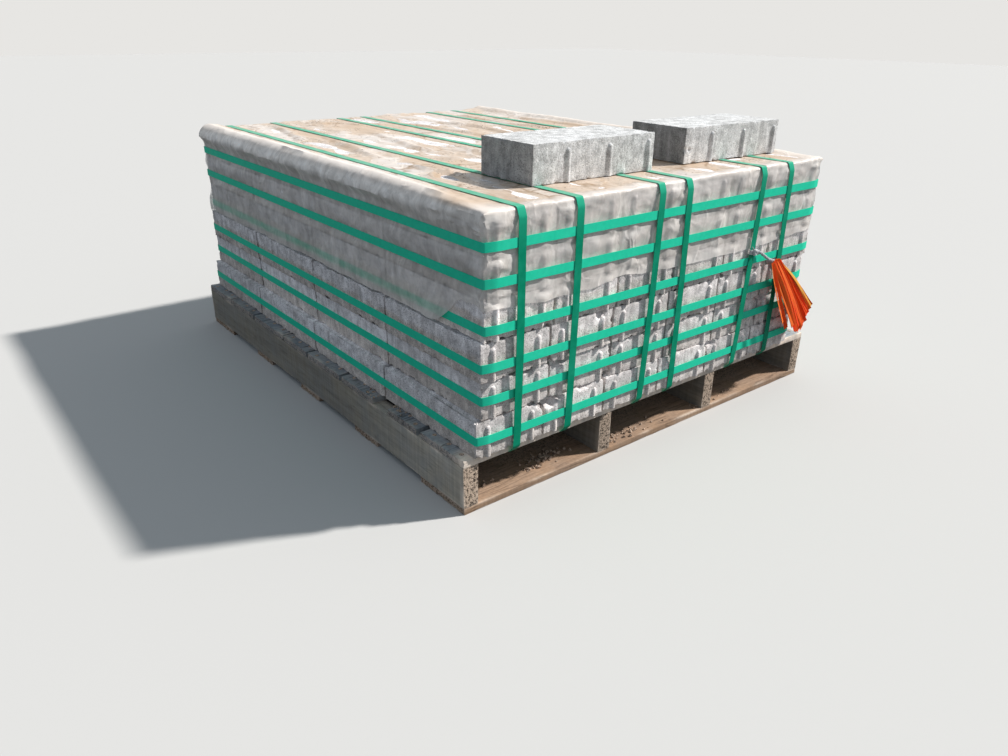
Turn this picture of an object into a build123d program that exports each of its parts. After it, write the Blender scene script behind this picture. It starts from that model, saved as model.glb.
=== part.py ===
from build123d import *
import math
import os

# A pallet of patio pavers. Sizes are in millimetres. X runs along the front of the load, Y runs from
# front to back and Z is up. The origin is in the middle of the pallet's underside.

# Wooden pallet: boards laid across four stringers on edge
board_thickness = 13
top_board_widths = (135, 103, 130, 151, 121, 167, 145, 151)
top_board_gaps = (14, 59, 10, 7, 8, 10, 8)
bottom_board_widths = (140, 95, 95, 95, 140)
deck_width = 1016
stringer_width = 32
stringer_height = 82
inner_stringer_places = (343, 664)

deck_depth = sum(top_board_widths) + sum(top_board_gaps)
bottom_board_gap = (deck_depth - sum(bottom_board_widths)) / (len(bottom_board_widths) - 1)
deck_left = -deck_width / 2
deck_front = -deck_depth / 2
deck_back = deck_depth / 2
deck_underside = board_thickness + stringer_height
deck_top = deck_underside + board_thickness

# Paver: a concrete block with spacer ribs on one long side and on one short end
paver_length = 300
paver_width = 148
paver_height = 70
rib_width = 12
rib_crest = 6
rib_reach = 4.2
rib_top_margin = 10
end_rib_places = (25, 123)
side_rib_places = (15, 117, 219)

# Load: courses of pavers in columns and rows, each course shifted a little as it was set down
columns = 6
rows = 4
paver_clearance = 0.3
bare_deck_left = 34
front_overhang = 8
course_shifts = ((2.4, -1), (2.5, -0.5), (2.3, -2), (-3.6, -1), (0, 2.7), (-12, 1))
courses = len(course_shifts)

column_pitch = paver_width + rib_reach + paver_clearance
row_pitch = paver_length + rib_reach + paver_clearance
course_pitch = paver_height + paver_clearance
load_left = deck_left + bare_deck_left
load_front = deck_front - front_overhang
load_top = deck_top + courses * course_pitch

# Straps and film, with the gap from each layer to the next
layer_gap = 0.2
film_thickness = 0.6
strap_width = 16
strap_thickness = 0.8
wrapped_courses = 3
course_strap_lifts = (9, 20.7, 12.7, 17.9, 27.6, 26.7)
vertical_strap_places = (73, 197, 398, 473, 704, 797)
vertical_strap_slants = (0, -3, -11, 6, -19, 8)

# Film skirt: it hangs lower at the sides and back than at the front, with a slanting step between
film_front_drop = 162
film_side_drop = 210
film_step_start = 107
film_step_end = 145

# Loose pavers on top: the near left corner of each, from the load's corner, and its turn in degrees
loose_pavers = {"left": (184.6, 102.7, -0.8), "right": (584.6, 105.4, -1.7)}

# Marker: twine tied round one vertical strap, with a bunch of plastic streamers at its other end
marked_strap_number = 5
tie_drop = 171
tie_height = 5
tie_thickness = 1.2
tie_side_gap = 0.6
twine_diameter = 3
twine_length = 103
twine_angle = -28.6
knot_radius = 5.5
streamer_width = 10
streamer_thickness = 1
streamer_lengths = (172, 196, 222, 229, 225, 222)
streamer_first_angle = -66
streamer_angle_step = 5.4

os.makedirs("parts", exist_ok=True)


def save(solid, name):
    solid.label = name
    export_step(solid, f"parts/{name}.step")


# Stringers: planks on edge that run from front to back, the outer two flush with the deck's sides.
# Their places are measured from the deck's left side to the middle of each.
def make_stringers():
    first_place = stringer_width / 2
    last_place = deck_width - stringer_width / 2
    places = (first_place, *inner_stringer_places, last_place)
    for number, place in enumerate(places, start=1):
        with BuildPart() as stringer:
            with BuildSketch(Plane.XY.offset(board_thickness)):
                with Locations((deck_left + place, 0)):
                    Rectangle(stringer_width, deck_depth)
            extrude(amount=stringer_height)
        save(stringer.part, f"stringer_{number}")


# Deck boards and bottom boards: both are laid from front to back, each as wide as its tree allowed
def make_boards(name, widths, gaps, underside):
    front = deck_front
    for number, (width, gap) in enumerate(zip(widths, gaps), start=1):
        with BuildPart() as board:
            with BuildSketch(Plane.XY.offset(underside)):
                with Locations((0, front + width / 2)):
                    Rectangle(deck_width, width)
            extrude(amount=board_thickness)
        save(board.part, f"{name}_{number}")
        front += width + gap


# Spacer rib: it stands on a side face, from the paver's underside to just below its top face, and its
# head slopes back to the face
rib_height = paver_height - rib_top_margin
with BuildPart() as rib:
    with BuildSketch():
        with BuildLine():
            Polyline(
                (-rib_width / 2, 0),
                (-rib_crest / 2, -rib_reach),
                (rib_crest / 2, -rib_reach),
                (rib_width / 2, 0),
                close=True,
            )
        make_face()
    extrude(amount=rib_height)
    split(bisect_by=Plane(origin=(0, 0, rib_height), z_dir=(0, -1, 1)), keep=Keep.BOTTOM)

# Paver: its near left bottom corner is at the origin, the ribbed end faces front and the ribbed long
# side faces right
with BuildPart() as paver:
    Box(paver_width, paver_length, paver_height, align=Align.MIN)
    with Locations(*[(place, 0, 0) for place in end_rib_places]):
        add(rib.part)
    with Locations(*[Location((paver_width, place, 0), (0, 0, 90)) for place in side_rib_places]):
        add(rib.part)


# Left, right, front and back faces of a course, which its shift moves together
def course_edges(number):
    shift_x, shift_y = course_shifts[number - 1]
    left = load_left + shift_x
    front = load_front + shift_y
    right = left + (columns - 1) * column_pitch + paver_width
    back = front + (rows - 1) * row_pitch + paver_length
    return left, right, front, back


def course_underside(number):
    return deck_top + (courses - number) * course_pitch


def make_courses():
    for number in range(1, courses + 1):
        left, right, front, back = course_edges(number)
        spots = [
            (left + column * column_pitch, front + row * row_pitch, course_underside(number))
            for row in range(rows)
            for column in range(columns)
        ]
        with BuildPart() as course:
            with Locations(*spots):
                add(paver.part)
        save(course.part, f"paver_course_{number}")


# A band drawn tight round pavers touches their corners and the crests of the outermost ribs
def band_corners(left, right, front, back):
    first_crest = left + end_rib_places[0] - rib_crest / 2
    last_crest = right - paver_width + end_rib_places[-1] + rib_crest / 2
    near_crest = front + side_rib_places[0] - rib_crest / 2
    far_crest = back - paver_length + side_rib_places[-1] + rib_crest / 2
    return [
        (left, front),
        (first_crest, front - rib_reach),
        (last_crest, front - rib_reach),
        (right, front),
        (right + rib_reach, near_crest),
        (right + rib_reach, far_crest),
        (right, back),
        (left, back),
    ]


# Upright block on the given corners, moved outwards all round by grow
def prism(corners, grow, underside, height):
    with BuildPart() as body:
        with BuildSketch(Plane.XY.offset(underside)):
            with BuildLine():
                Polyline(*corners, close=True)
            make_face()
            offset(amount=grow, kind=Kind.INTERSECTION)
        extrude(amount=height)
    return body.part


# The film goes round the wrapped courses, outside the strap of the lowest of them
strap_layer = strap_thickness + layer_gap
film_layer = film_thickness + layer_gap
wrapped = [course_edges(number) for number in range(1, wrapped_courses + 1)]
film_left = min(edges[0] for edges in wrapped) - strap_layer
film_right = max(edges[1] for edges in wrapped) + strap_layer
film_front = min(edges[2] for edges in wrapped)
film_back = max(edges[3] for edges in wrapped) + strap_layer
film_corners = band_corners(film_left, film_right, film_front, film_back)
film_top = load_top + layer_gap
film_shoulder = load_top - rib_top_margin - rib_reach


# Straps round the courses: those above the lowest wrapped course lie over the film, the others lie
# on the pavers themselves
def make_course_straps():
    for number in range(1, courses + 1):
        over_film = number < wrapped_courses
        corners = film_corners if over_film else band_corners(*course_edges(number))
        grow = layer_gap + film_layer if over_film else layer_gap
        underside = course_underside(number) + course_strap_lifts[number - 1]
        outer = prism(corners, grow + strap_thickness, underside, strap_width)
        inner = prism(corners, grow, underside, strap_width)
        with BuildPart() as strap:
            add(outer)
            add(inner, mode=Mode.SUBTRACT)
        save(strap.part, f"course_strap_{number}")


# Film: a cap over the load. Along its front and right edges it slopes from the top face of the pavers
# down to the crests of their ribs.
def film_block(grow):
    left, right, front, back = course_edges(1)
    front_rise = (0, film_top - film_shoulder, film_front - rib_reach - front)
    right_rise = (film_top - film_shoulder, 0, film_right + rib_reach - right)
    front_slope = Plane((0, front - layer_gap, film_top), z_dir=(0, -front_rise[1], -front_rise[2]))
    right_slope = Plane((right + layer_gap, 0, film_top), z_dir=right_rise)
    hem = load_top - film_side_drop
    with BuildPart() as block:
        add(prism(film_corners, layer_gap + grow, hem, film_top + grow - hem))
        split(bisect_by=front_slope.offset(grow), keep=Keep.BOTTOM)
        split(bisect_by=right_slope.offset(grow), keep=Keep.BOTTOM)
    return block.part


def make_film():
    hem = load_top - film_side_drop
    front_hem = load_top - film_front_drop
    below = hem - film_side_drop
    ahead = load_front - film_step_start
    with BuildPart() as film:
        add(film_block(film_thickness))
        add(film_block(0), mode=Mode.SUBTRACT)
        with BuildSketch(Plane.YZ):
            with BuildLine():
                Polyline(
                    (ahead, below),
                    (ahead, front_hem),
                    (load_front + film_step_start, front_hem),
                    (load_front + film_step_end, hem),
                    (load_front + film_step_end, below),
                    close=True,
                )
            make_face()
        extrude(amount=deck_width, both=True, mode=Mode.SUBTRACT)
    save(film.part, "top_film")


# Vertical straps: each is a closed loop round the load and the deck boards. Its front run leaves the
# deck's lower edge, passes over the straps round the courses and turns at the top edge of the load.
# Its back run leans on whatever stands furthest out.
front_run = film_front - rib_reach - layer_gap - film_layer - strap_layer
furthest_back = max(course_edges(number)[3] for number in range(1, courses + 1)) + strap_layer
back_run = max(film_back + film_layer + strap_layer, furthest_back) + layer_gap
back_foot = max(deck_back + layer_gap, back_run)
loop_top = film_top + film_layer
loop_bottom = deck_underside - layer_gap
lowest_strap_edge = course_underside(courses) + course_strap_lifts[-1]
lowest_film_strap_edge = course_underside(wrapped_courses) + course_strap_lifts[wrapped_courses - 1]
lowest_crests = course_edges(courses)[2] - rib_reach
foot_run = lowest_crests - strap_layer - 2 * layer_gap
front_foot = min(deck_front, lowest_crests) - layer_gap
top_front_turn = course_edges(1)[2] - film_layer - layer_gap


def strap_centre(number, height):
    fall = (loop_top - height) / (loop_top - loop_bottom)
    return load_left + vertical_strap_places[number - 1] + vertical_strap_slants[number - 1] * fall


def make_vertical_straps():
    loop_points = [
        (deck_front - layer_gap, loop_bottom),
        (deck_back + layer_gap, loop_bottom),
        (back_foot, deck_top),
        (back_run, loop_top),
        (top_front_turn, loop_top),
        (front_run, film_shoulder),
        (front_run, lowest_film_strap_edge),
        (foot_run, lowest_strap_edge),
        (front_foot, deck_top),
    ]
    low = loop_bottom - strap_thickness
    high = loop_top + strap_thickness
    for number in range(1, len(vertical_strap_places) + 1):
        with BuildPart() as strap:
            with BuildSketch(Plane.YZ):
                with BuildLine() as inner_line:
                    Polyline(*loop_points, close=True)
                make_face()
                offset(amount=strap_thickness, kind=Kind.INTERSECTION)
            extrude(amount=deck_width / 2, both=True)
            with BuildSketch(Plane.YZ):
                add(inner_line.line)
                make_face()
            extrude(amount=deck_width / 2, both=True, mode=Mode.SUBTRACT)
            with BuildSketch(Plane.XZ):
                with BuildLine():
                    Polyline(
                        (strap_centre(number, low) - strap_width / 2, low),
                        (strap_centre(number, low) + strap_width / 2, low),
                        (strap_centre(number, high) + strap_width / 2, high),
                        (strap_centre(number, high) - strap_width / 2, high),
                        close=True,
                    )
                make_face()
            extrude(amount=deck_depth, both=True, mode=Mode.INTERSECT)
        save(strap.part, f"vertical_strap_{number}")


# Loose pavers: mirror images of the others, with the ribbed long side to the front. They lie on the
# vertical straps.
def make_loose_pavers():
    rest_height = loop_top + strap_thickness + layer_gap
    for side, (from_left, from_front, turn) in loose_pavers.items():
        place = Location((load_left + from_left, load_front + from_front, rest_height), (0, 0, turn))
        with BuildPart() as loose_paver:
            with Locations(place * Location((paver_length, paver_width, 0), (0, 0, 90))):
                mirrored = mirror(paver.part, about=Plane.YZ, mode=Mode.PRIVATE)
                add(mirrored)
        save(loose_paver.part, f"loose_paver_{side}")


# Marker tie: a flat loop of twine round the marked strap, a straight run of twine and a knot. The
# streamers fan out from the knot.
tie_place = load_top - tie_drop
tie_centre = strap_centre(marked_strap_number, tie_place)
tie_front = front_run - strap_thickness - layer_gap - tie_thickness
tie_back = front_run + layer_gap + tie_thickness
twine_start = tie_centre + strap_width / 2 + tie_side_gap + tie_thickness / 2
knot_x = twine_start + twine_length * math.cos(math.radians(twine_angle))
knot_z = tie_place + twine_length * math.sin(math.radians(twine_angle))
marker_plane = Plane(origin=(0, tie_front + tie_thickness, 0), x_dir=(1, 0, 0), z_dir=(0, -1, 0))


def make_marker_tie():
    hole = strap_width + 2 * tie_side_gap
    middle = (tie_centre, (tie_front + tie_back) / 2)
    depth = tie_back - tie_front
    with BuildPart() as tie:
        with BuildSketch(Plane.XY.offset(tie_place - tie_height / 2)):
            with Locations(middle):
                Rectangle(hole + 2 * tie_thickness, depth)
                Rectangle(hole, depth - 2 * tie_thickness, mode=Mode.SUBTRACT)
        extrude(amount=tie_height)
        with BuildSketch(marker_plane):
            with Locations((twine_start, tie_place)):
                Rectangle(twine_length, twine_diameter, rotation=twine_angle, align=(Align.MIN, Align.CENTER))
            with Locations((knot_x, knot_z)):
                Circle(knot_radius)
        extrude(amount=twine_diameter)
    save(tie.part, "marker_tie")


def make_streamers():
    with BuildPart() as streamers:
        with BuildSketch(marker_plane):
            for step, length in enumerate(streamer_lengths):
                angle = streamer_first_angle + step * streamer_angle_step
                start = knot_radius + layer_gap
                x = knot_x + start * math.cos(math.radians(angle))
                z = knot_z + start * math.sin(math.radians(angle))
                with Locations((x, z)):
                    Rectangle(length, streamer_width, rotation=angle, align=(Align.MIN, Align.CENTER))
        extrude(amount=streamer_thickness)
    save(streamers.part, "marker_streamers")


make_stringers()
make_boards("top_board", top_board_widths, (*top_board_gaps, 0), deck_underside)
make_boards("bottom_board", bottom_board_widths, [bottom_board_gap] * len(bottom_board_widths), 0)
make_courses()
make_course_straps()
make_film()
make_vertical_straps()
make_loose_pavers()
make_marker_tie()
make_streamers()
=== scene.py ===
import math
import random

import bpy
from mathutils import Matrix, Vector, noise


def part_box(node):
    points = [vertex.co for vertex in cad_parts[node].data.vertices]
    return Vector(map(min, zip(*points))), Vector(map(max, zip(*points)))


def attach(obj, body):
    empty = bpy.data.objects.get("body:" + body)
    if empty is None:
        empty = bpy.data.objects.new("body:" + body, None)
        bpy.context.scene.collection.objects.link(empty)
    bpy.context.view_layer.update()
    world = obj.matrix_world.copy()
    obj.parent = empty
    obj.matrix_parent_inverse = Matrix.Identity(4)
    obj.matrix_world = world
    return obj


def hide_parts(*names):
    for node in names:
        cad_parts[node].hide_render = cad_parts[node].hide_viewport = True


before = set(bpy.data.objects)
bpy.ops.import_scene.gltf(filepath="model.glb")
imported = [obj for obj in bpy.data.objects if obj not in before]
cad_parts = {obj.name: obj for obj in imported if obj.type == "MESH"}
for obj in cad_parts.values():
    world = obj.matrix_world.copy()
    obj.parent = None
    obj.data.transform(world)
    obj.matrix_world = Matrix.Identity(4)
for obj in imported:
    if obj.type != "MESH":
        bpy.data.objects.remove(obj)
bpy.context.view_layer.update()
bpy.ops.object.select_all(action="DESELECT")


# View: the camera looks down at the near left corner of the load, as in the photograph. The floor is
# pale and plain, the sun lamp stands to the right and the sky fills the shaded side.
bpy.ops.object.camera_add(location=(-1.1634, -1.5362, 0.7866), rotation=(1.1408, -0.01056, -0.67012))
camera = bpy.context.object
camera.data.sensor_width = 36
camera.data.lens = 27.657
camera.data.clip_start = 0.05
bpy.context.scene.camera = camera
bpy.context.scene.view_settings.view_transform = "Standard"

to_sun = Vector((0.67, -0.31, 0.68))
bpy.ops.object.light_add(type="SUN", rotation=to_sun.to_track_quat("Z", "Y").to_euler())
sun = bpy.context.object.data
sun.energy = 5.0
sun.angle = math.radians(3)
sun.color = (1.0, 0.97, 0.93)


def put(tree, kind, inputs=None, **settings):
    """Adds a shader node. Each input takes a value, a colour or another node's output."""
    made = tree.nodes.new("ShaderNode" + kind)
    for name, value in settings.items():
        setattr(made, name, value)
    for name, value in (inputs or {}).items():
        socket = made.inputs[name]
        if isinstance(value, bpy.types.NodeSocket):
            tree.links.new(value, socket)
        else:
            socket.default_value = (*value, 1) if socket.type == "RGBA" else value
    return made


def reckon(tree, operation, *values, clamp=False):
    """The result of a sum or a comparison of the values."""
    return put(tree, "Math", dict(enumerate(values)), operation=operation, use_clamp=clamp).outputs[0]


def graded(tree, value, low, high, first=0.0, last=1.0, kind="LINEAR"):
    """Goes from the first number to the last while the value goes from low to high."""
    inputs = {"Value": value, 1: low, 2: high, 3: first, 4: last}
    return put(tree, "MapRange", inputs, interpolation_type=kind).outputs[0]


def mixed(tree, share, first, second, kind="MIX"):
    return put(tree, "MixRGB", {0: share, 1: first, 2: second}, blend_type=kind).outputs[0]


def new_finish(name, roughness, specular):
    """A new material and its node tree."""
    material = bpy.data.materials.new(name)
    material.use_nodes = True
    shader = material.node_tree.nodes["Principled BSDF"]
    shader.inputs["Roughness"].default_value = roughness
    shader.inputs["Specular IOR Level"].default_value = specular
    return material, material.node_tree


def feed(tree, output, socket):
    tree.links.new(output, tree.nodes["Principled BSDF"].inputs[socket])


sky = bpy.data.worlds.new("sky")
bpy.context.scene.world = sky
sky.use_nodes = True
tree = sky.node_tree
sky_light = tree.nodes["Background"]
sky_light.inputs["Strength"].default_value = 0.455
side = put(tree, "SeparateXYZ", {0: put(tree, "TexCoord").outputs["Generated"]}).outputs[0]
sky_colour = mixed(tree, graded(tree, side, -0.9, 0.9), (0.62, 0.74, 0.88), (0.88, 0.95, 1.0))
tree.links.new(sky_colour, sky_light.inputs["Color"])
backdrop = put(tree, "Background", {"Color": (0.80, 0.79, 0.768), "Strength": 1.0})
rays = put(tree, "LightPath").outputs
seen = reckon(tree, "MAXIMUM", rays["Is Camera Ray"], rays["Is Glossy Ray"])
seen = reckon(tree, "MAXIMUM", seen, rays["Is Transmission Ray"])
sky_mix = put(tree, "MixShader", {0: seen, 1: sky_light.outputs[0], 2: backdrop.outputs[0]})
tree.links.new(sky_mix.outputs[0], tree.nodes["World Output"].inputs["Surface"])

bpy.ops.mesh.primitive_plane_add(size=40)
floor = bpy.context.object
floor.name = "floor"
floor_finish, tree = new_finish("floor_finish", 0.9, 0.1)
rays = put(tree, "LightPath").outputs
feed(tree, mixed(tree, rays["Is Camera Ray"], (0.13, 0.127, 0.122), (0.56, 0.555, 0.545)), "Base Color")
floor.data.materials.append(floor_finish)


# Stringers: four planks of rough-sawn softwood on edge that carry the deck. Each is cut square at its
# ends, weathered grey and a little split, and the boards are nailed to it.
def ramp(value, low, high):
    """0 up to the low number, 1 from the high one on, and straight between them."""
    return min(1.0, max(0.0, (value - low) / (high - low)))


def choose(piece, kind, wanted):
    """Selects in edit mode those faces, edges or points of a piece that the test takes."""
    bpy.context.view_layer.objects.active = piece
    bpy.ops.object.mode_set(mode="EDIT")
    bpy.ops.mesh.select_mode(type=kind)
    bpy.ops.mesh.select_all(action="DESELECT")
    bpy.ops.object.mode_set(mode="OBJECT")
    mesh = piece.data
    if kind == "VERT":
        for point in mesh.vertices:
            point.select = wanted(point.co)
    elif kind == "EDGE":
        for edge in mesh.edges:
            edge.select = wanted(*(mesh.vertices[index].co for index in edge.vertices))
    else:
        for face in mesh.polygons:
            face.select = wanted(face.center, face.normal)
    bpy.ops.object.mode_set(mode="EDIT")


def cut_across(piece, wanted, cuts):
    """Cuts the edges that the test takes into that many more lengths."""
    choose(piece, "EDGE", wanted)
    bpy.ops.mesh.subdivide(number_cuts=cuts)
    bpy.ops.object.mode_set(mode="OBJECT")


def block(name, low, high, cuts):
    """A box between two corners, cut across each axis into that many more slices."""
    bpy.ops.mesh.primitive_cube_add(size=1, location=(low + high) / 2, scale=high - low)
    piece = bpy.context.object
    piece.name = name
    bpy.ops.object.transform_apply(location=True, rotation=True, scale=True)
    for axis, count in enumerate(cuts):
        if count:
            cut_across(piece, lambda a, b: abs((a - b)[axis]) > 0.5 * (a - b).length, count)
    return piece


def weigh(piece, group_name, weight_at):
    """A vertex group whose weights come from each point's place."""
    group = piece.vertex_groups.new(name=group_name)
    for point in piece.data.vertices:
        weight = weight_at(point.co)
        if weight > 0.001:
            group.add([point.index], min(1.0, weight), "REPLACE")


def edge_weight(low, high, reach):
    """1 on the edges of a box, falling to 0 at that reach from them."""
    def weight_at(place):
        gaps = sorted(min(place[k] - low[k], high[k] - place[k]) for k in range(3))
        return max(0.0, 1 - gaps[1] / reach) ** 2
    return weight_at


def clouds(name, size, contrast=1.0, depth=2, brightness=1.0):
    made = bpy.data.textures.new(name, "CLOUDS")
    made.noise_scale = size
    made.noise_depth = depth
    made.contrast = contrast
    made.intensity = brightness
    made.use_clamp = True
    return made


def displace(piece, texture, strength, group_name, level=0.0, direction="NORMAL", stretch=None):
    """Moves the points of a group in or out by a texture, which may be stretched along an axis."""
    change = piece.modifiers.new("displace", "DISPLACE")
    change.texture = texture
    change.texture_coords = "LOCAL"
    if stretch:
        bpy.ops.object.empty_add(location=(0, 0, 0))
        guide = bpy.context.object
        guide.scale = stretch
        bpy.context.view_layer.update()
        change.texture_coords = "OBJECT"
        change.texture_coords_object = guide
    change.direction = direction
    change.strength = strength
    change.mid_level = level
    change.vertex_group = group_name
    bpy.context.view_layer.objects.active = piece
    bpy.ops.object.modifier_apply(modifier=change.name)
    if stretch:
        bpy.data.objects.remove(guide)


def mark(piece, name, values):
    """Numbers that the piece's material reads: a list for its points, or one for all of them."""
    if isinstance(values, float):
        values = [values] * len(piece.data.vertices)
    piece.data.attributes.new(name, "FLOAT", "POINT").data.foreach_set("value", values)


def finish_piece(piece, material, node):
    piece.data.materials.clear()
    piece.data.materials.append(material)
    bpy.ops.object.select_all(action="DESELECT")
    piece.select_set(True)
    bpy.context.view_layer.objects.active = piece
    bpy.ops.object.shade_smooth_by_angle(angle=math.radians(40))
    bpy.ops.object.select_all(action="DESELECT")
    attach(piece, "root")
    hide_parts(node)


def noise_at(tree, place, scale, detail=2.0, rough=0.5, bend=0.0, output="Fac"):
    """Cloudy noise, with that many clouds to the metre."""
    inputs = {"Vector": place, "Scale": scale, "Detail": detail, "Roughness": rough, "Distortion": bend}
    return put(tree, "TexNoise", inputs).outputs[output]


def cell_edges(tree, place, scale):
    """The distance from the edges of random cells."""
    cells = put(tree, "TexVoronoi", {"Vector": place, "Scale": scale}, feature="DISTANCE_TO_EDGE")
    return cells.outputs["Distance"]


def stretched(tree, place, scale):
    return put(tree, "Mapping", {0: place, "Scale": scale}).outputs[0]


def warped(tree, place, scale, amount, base):
    """A place pushed this way and that by a slow noise."""
    push = noise_at(tree, place, scale, output="Color")
    inputs = {0: push, 1: (amount, amount, amount), 2: base}
    return put(tree, "VectorMath", inputs, operation="MULTIPLY_ADD").outputs[0]


def marked(tree, name):
    return put(tree, "Attribute", attribute_name=name).outputs["Fac"]


def product(tree, first, *others):
    for other in others:
        first = reckon(tree, "MULTIPLY", first, other)
    return first


def plus(tree, base, value, factor=1.0, clamp=False):
    return reckon(tree, "MULTIPLY_ADD", value, factor, base, clamp=clamp)


def shaded(tree, colour, value):
    return put(tree, "HueSaturation", {"Color": colour, "Value": value}).outputs[0]


def roughen(tree, height, strength, distance):
    """Lets the light play on a relief that is too fine for the mesh."""
    bump = put(tree, "Bump", {"Height": height, "Strength": strength, "Distance": distance})
    feed(tree, bump.outputs[0], "Normal")


def weathered_wood(name, axis, pale, dark, grey_share, speckle, cracked):
    """Sawn wood whose grain runs along an axis, with grey patches, drying cracks and speckled end grain."""
    material, tree = new_finish(name, 0.82, 0.25)
    coordinates = put(tree, "TexCoord").outputs
    normal = put(tree, "SeparateXYZ", {0: coordinates["Normal"]}).outputs
    tone = marked(tree, "tone")
    offset = put(tree, "CombineXYZ", {0: tone, 1: tone, 2: tone}).outputs[0]
    place = put(tree, "VectorMath", {0: coordinates["Object"], 1: offset}, operation="ADD").outputs[0]
    along = stretched(tree, place, [0.05 if k == axis else 1.0 for k in range(3)])
    fibre = graded(tree, noise_at(tree, along, 420, 5, 0.65), 0.3, 0.7)
    band = graded(tree, noise_at(tree, along, 90, 3, bend=0.7), 0.36, 0.64)
    grain = plus(tree, product(tree, fibre, 0.5), band, 0.5)
    grey = mixed(tree, grain, (0.155, 0.175, 0.20), (0.27, 0.30, 0.34))
    patch = graded(tree, noise_at(tree, place, 13, 6, 0.62), 0.38, 0.62, 0.0, grey_share)
    colour = mixed(tree, patch, mixed(tree, grain, dark, pale), grey)

    end = graded(tree, reckon(tree, "ABSOLUTE", normal[axis]), 0.6, 0.8)
    pores = graded(tree, noise_at(tree, place, 250, 4, 0.8), 0.43, 0.52)
    end_colour = mixed(tree, pores, (0.022, 0.013, 0.009), (0.68, 0.53, 0.41))
    colour = mixed(tree, product(tree, end, speckle), colour, end_colour)

    split = graded(tree, cell_edges(tree, warped(tree, place, 20, 0.006, along), 75), 0.02, 0.06, 1.0, 0.0)
    split = product(tree, split, graded(tree, noise_at(tree, place, 24), 0.46, 0.56, 0.0, cracked))
    colour = mixed(tree, split, colour, (0.02, 0.017, 0.014))
    # Fresh wood on worn edges; on the front deck board the same pale colour is also painted sunlight
    colour = mixed(tree, marked(tree, "fresh_wood_and_light"), colour, (0.86, 0.73, 0.61))
    clod = mixed(tree, pores, (0.10, 0.07, 0.05), (0.52, 0.39, 0.30))
    colour = mixed(tree, marked(tree, "soil"), colour, clod)

    # Painted light: the left stringer is painted paler towards its open front end, end grain excepted
    bleached = reckon(tree, "SUBTRACT", marked(tree, "bleached"), end, clamp=True)
    shade = plus(tree, graded(tree, tone, 0, 1, 0.75, 1.2), bleached, 0.75)
    # Painted shade: faces that look down, under the boards and into the bays, are painted darker
    shade = product(tree, shade, graded(tree, normal["Z"], -0.9, -0.5, 0.4, 1.0))
    saw_marks = noise_at(tree, stretched(tree, place, (1, 1, 0.06)), 170)
    saw_marks = graded(tree, saw_marks, 0.35, 0.65, 0.9, 1.08)
    feed(tree, mixed(tree, 1.0, shaded(tree, colour, shade), saw_marks, "MULTIPLY"), "Base Color")
    roughen(tree, plus(tree, grain, split, -1.5), 0.6, 0.0007)
    return material


rough_sawn = clouds("rough_sawn", 0.03)
splinter = clouds("splinter", 0.005, contrast=3.0)


def plank(name, node, axis, cuts, edge, end):
    """A sawn plank whose edges are worn, and whose ends are broken, by up to the given depths."""
    low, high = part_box(node)
    piece = block(name, low, high, cuts)
    worn = edge_weight(low, high, 0.005)
    weigh(piece, "edge", worn)
    weigh(piece, "near_end", lambda place: 1 - (place[axis] - low[axis]) / 0.012)
    weigh(piece, "far_end", lambda place: 1 - (high[axis] - place[axis]) / 0.012)
    places = [point.co for point in piece.data.vertices]
    mark(piece, "fresh_wood_and_light", [0.8 * worn(place) * max(0.0, noise.noise(place * 22) + 0.1) for place in places])
    displace(piece, rough_sawn, -edge, "edge")
    stretch = [4.0 if k == axis else 1.0 for k in range(3)]
    for group, depth in (("near_end", end), ("far_end", -end)):
        displace(piece, splinter, depth, group, direction="XYZ"[axis], stretch=stretch)
    return piece


stringer_wood = weathered_wood(
    "stringer_wood", 1, (0.36, 0.325, 0.265), (0.25, 0.22, 0.18), grey_share=0.30, speckle=0.95, cracked=0.2,
)
# Painted shade: the three inner stringers, inside the bays, get low tones that paint them darker
for number, shade in enumerate((0.55, 0.05, 0.1, 0.2), start=1):
    stringer = plank(f"sawn_stringer_{number}", f"stringer_{number}", 1, (5, 160, 12), 0.0012, 0.0006)
    mark(stringer, "tone", shade)
    if number == 1:
        # Painted light: the front half of the left one is painted paler, where more light reaches it
        mark(stringer, "bleached", [ramp(-point.co.y, 0, 0.5) ** 2 for point in stringer.data.vertices])
    finish_piece(stringer, stringer_wood, f"stringer_{number}")


# Deck boards: eight thin boards of uneven width nailed across the stringers, with gaps between them.
# Their left ends stick out beside the load, grey and splintered, with the nail heads showing.
nail_columns = (-0.491, 0.489)
nail_rows = (0.18, 0.5, 0.82)


def join(name, parts):
    bpy.ops.object.select_all(action="DESELECT")
    for part in parts:
        part.select_set(True)
    bpy.context.view_layer.objects.active = parts[0]
    bpy.ops.object.join()
    parts[0].name = name
    return parts[0]


def crumb(place, size):
    """A lump of soil or a splinter of concrete."""
    bpy.ops.mesh.primitive_ico_sphere_add(subdivisions=1, radius=size, location=place)
    made = bpy.context.object
    bpy.ops.object.transform_apply(location=True, rotation=True, scale=True)
    for point in made.data.vertices:
        point.co = place + (point.co - place) * (1 + 0.5 * noise.noise(point.co * 400))
    mark(made, "soil", 1.0)
    return made


def nail_head(place):
    bpy.ops.mesh.primitive_cylinder_add(vertices=12, radius=0.0042, depth=0.002, location=place)
    made = bpy.context.object
    bpy.ops.object.transform_apply(location=True, rotation=True, scale=True)
    choose(made, "FACE", lambda middle, normal: normal.z > 0.9)
    bpy.ops.mesh.inset(thickness=0.0012)
    bpy.ops.transform.translate(value=(0, 0, 0.0003))
    bpy.ops.object.mode_set(mode="OBJECT")
    mark(made, "soil", 0.9)
    return made


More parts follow.
